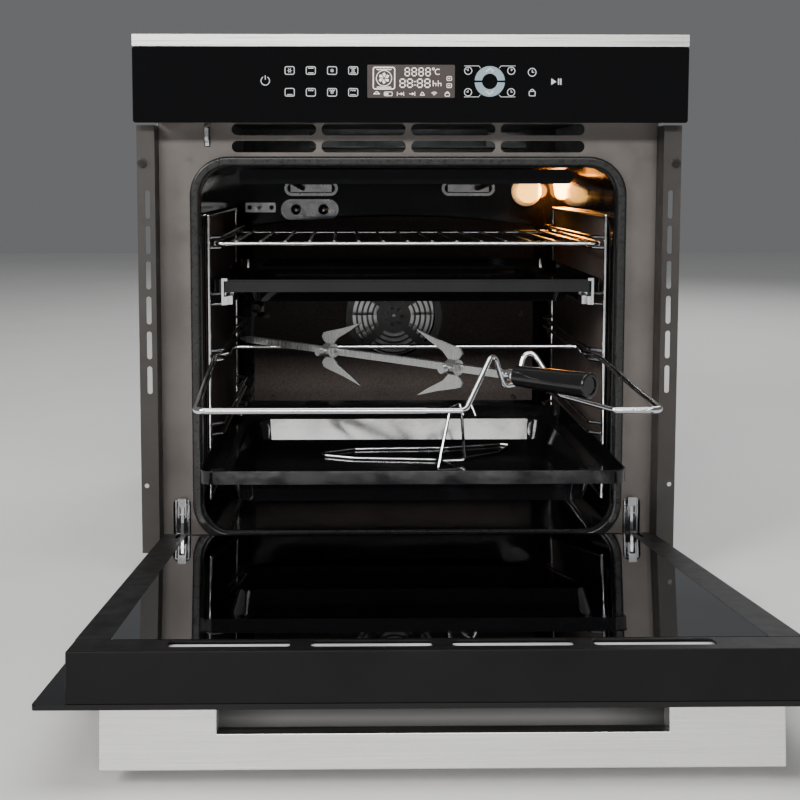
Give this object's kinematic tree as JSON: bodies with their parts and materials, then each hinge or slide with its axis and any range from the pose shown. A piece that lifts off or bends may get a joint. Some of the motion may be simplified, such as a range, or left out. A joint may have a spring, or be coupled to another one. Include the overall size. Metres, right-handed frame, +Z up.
{
  "type": "wall oven",
  "caption": "Built-in oven with drop-down glass door, side racks, wire shelf, two trays and a rotisserie with spit",
  "frame": {"origin": "on the underside of the base, mid-width, in the plane where the side flanges meet the cabinet", "axes": "+X right, +Y into the oven, +Z up"},
  "size_m": [0.596, 1.0431, 0.595],
  "materials": {
    "casing_zinc": "galvanised sheet",
    "frame_paint": "semi-matt taupe lacquer",
    "flange_paint": "matt dark lacquer",
    "black_enamel": "gloss vitreous enamel",
    "taupe_enamel": "matt porous enamel",
    "dark_enamel": "satin enamel",
    "chrome_wire": "bright chrome plate",
    "zinc_plate": "bright zinc plate",
    "stainless": "brushed along its length",
    "gasket_rubber": "matt silicone",
    "mineral_wool": "loose felt",
    "black_glass": "polished, printed black behind",
    "tinted_glass": "polished, mirror tint",
    "rail_paint": "matt dark grey lacquer",
    "heater_rod": "oxidised alloy sheath",
    "spit_steel": "ground",
    "black_plastic": "polished phenolic",
    "grey_plastic": "moulded",
    "board_green": "solder resist",
    "lamp_glass": "clear, lit",
    "fan_alloy": "pressed",
    "black_oxide": "oiled black oxide"
  },
  "bodies": {
    "oven": {"base_plate": "casing_zinc", "casing_wrap": "casing_zinc", "rear_cover": "casing_zinc", "front_frame": "frame_paint", "flange_left": "flange_paint", "flange_right": "flange_paint", "panel_screws": "black_oxide", "cavity": "black_enamel", "door_gasket": "gasket_rubber", "insulation": "mineral_wool", "liner_left": "taupe_enamel", "liner_right": "taupe_enamel", "fan_cover": "taupe_enamel", "fan_grille": "dark_enamel", "ring_element": "heater_rod", "grill_element": "heater_rod", "grill_reflector": "black_enamel", "bottom_element": "heater_rod", "element_flanges": "zinc_plate", "temperature_sensor": "stainless", "lamp_holder": "zinc_plate", "lamp_bulb": "lamp_glass", "rack_left": "chrome_wire", "rack_right": "chrome_wire", "runners_fixed": "chrome_wire", "rotisserie_motor": "casing_zinc", "fan_motor": "casing_zinc", "blower_housing": "casing_zinc", "air_duct": "casing_zinc", "control_glass": "black_glass", "control_trim": "stainless", "control_housing": "casing_zinc", "control_board": "board_green", "door_switch": "grey_plastic", "hinge_brackets": "zinc_plate", "terminal_block": "grey_plastic"},
    "door": {"door_outer_glass": "black_glass", "door_middle_glass": "tinted_glass", "door_inner_glass": "tinted_glass", "door_rail_left": "rail_paint", "door_rail_right": "rail_paint", "door_top_trim": "rail_paint", "door_bottom_rail": "rail_paint", "door_handle": "stainless"},
    "shelf": {"wire_shelf": "chrome_wire"},
    "baking_slide": {"runners_moving": "chrome_wire", "baking_tray": "black_enamel"},
    "drip_slide": {"drip_tray": "black_enamel", "tray_grip": "chrome_wire"},
    "cradle": {"rotisserie_cradle": "chrome_wire"},
    "spit_rod": {"spit": "spit_steel", "spit_forks": "spit_steel", "spit_ferrule": "chrome_wire", "spit_handle": "black_plastic"},
    "fan": {"convection_fan": "fan_alloy"},
    "blower": {"blower_impeller": "fan_alloy"},
    "socket": {"drive_socket": "black_oxide"},
    "plunger": {"switch_plunger": "zinc_plate"},
    "catch_left": {"hinge_catch_left": "zinc_plate"},
    "catch_right": {"hinge_catch_right": "zinc_plate"}
  },
  "joints": [
    {"name": "door_hinge", "type": "hinge", "parent": "oven", "child": "door", "pos_m": [0, -0.0135, 0.0165], "axis": [-1, 0, 0], "range_deg": [0, 83.36]},
    {"name": "drip_tray_slide", "type": "slide", "parent": "oven", "child": "drip_slide", "axis": [0, 1, 0], "range_m": [0, 0.121]},
    {"name": "rotisserie_slide", "type": "slide", "parent": "oven", "child": "cradle", "axis": [0, 1, 0], "range_m": [0, 0.3291]},
    {"name": "wire_shelf_slide", "type": "slide", "parent": "oven", "child": "shelf", "axis": [0, 1, 0], "range_m": [-0.22, 0]},
    {"name": "baking_tray_slide", "type": "slide", "parent": "oven", "child": "baking_slide", "axis": [0, 1, 0], "range_m": [-0.26, 0]},
    {"name": "spit_spin", "type": "hinge", "parent": "cradle", "child": "spit_rod", "pos_m": [-0.1924, 0.0749, 0.2565], "axis": [0.662, -0.7494, 0.0135], "continuous": true},
    {"name": "convection_fan_spin", "type": "hinge", "parent": "oven", "child": "fan", "pos_m": [0, 0.44, 0.2435], "axis": [0, 1, 0], "continuous": true},
    {"name": "cooling_fan_spin", "type": "hinge", "parent": "oven", "child": "blower", "pos_m": [0, 0.3, 0.528], "axis": [1, 0, 0], "continuous": true},
    {"name": "drive_socket_spin", "type": "hinge", "parent": "oven", "child": "socket", "pos_m": [-0.199, 0.44, 0.256], "axis": [0, 1, 0], "continuous": true},
    {"name": "door_switch_press", "type": "slide", "parent": "oven", "child": "plunger", "axis": [0, 1, 0], "range_m": [0, 0.005], "stiffness_N_per_m": 120},
    {"name": "catch_left_flip", "type": "hinge", "parent": "oven", "child": "catch_left", "pos_m": [-0.256, 0.0235, 0.061], "axis": [-1, 0, 0], "range_deg": [-55, 0]},
    {"name": "catch_right_flip", "type": "hinge", "parent": "oven", "child": "catch_right", "pos_m": [0.256, 0.0235, 0.061], "axis": [-1, 0, 0], "range_deg": [-55, 0]}
  ],
  "couplings": [
    {"joint": "drip_tray_slide", "follows": "door_hinge", "m_per_rad": 0.08316},
    {"joint": "rotisserie_slide", "follows": "door_hinge", "m_per_rad": 0.22613}
  ]
}
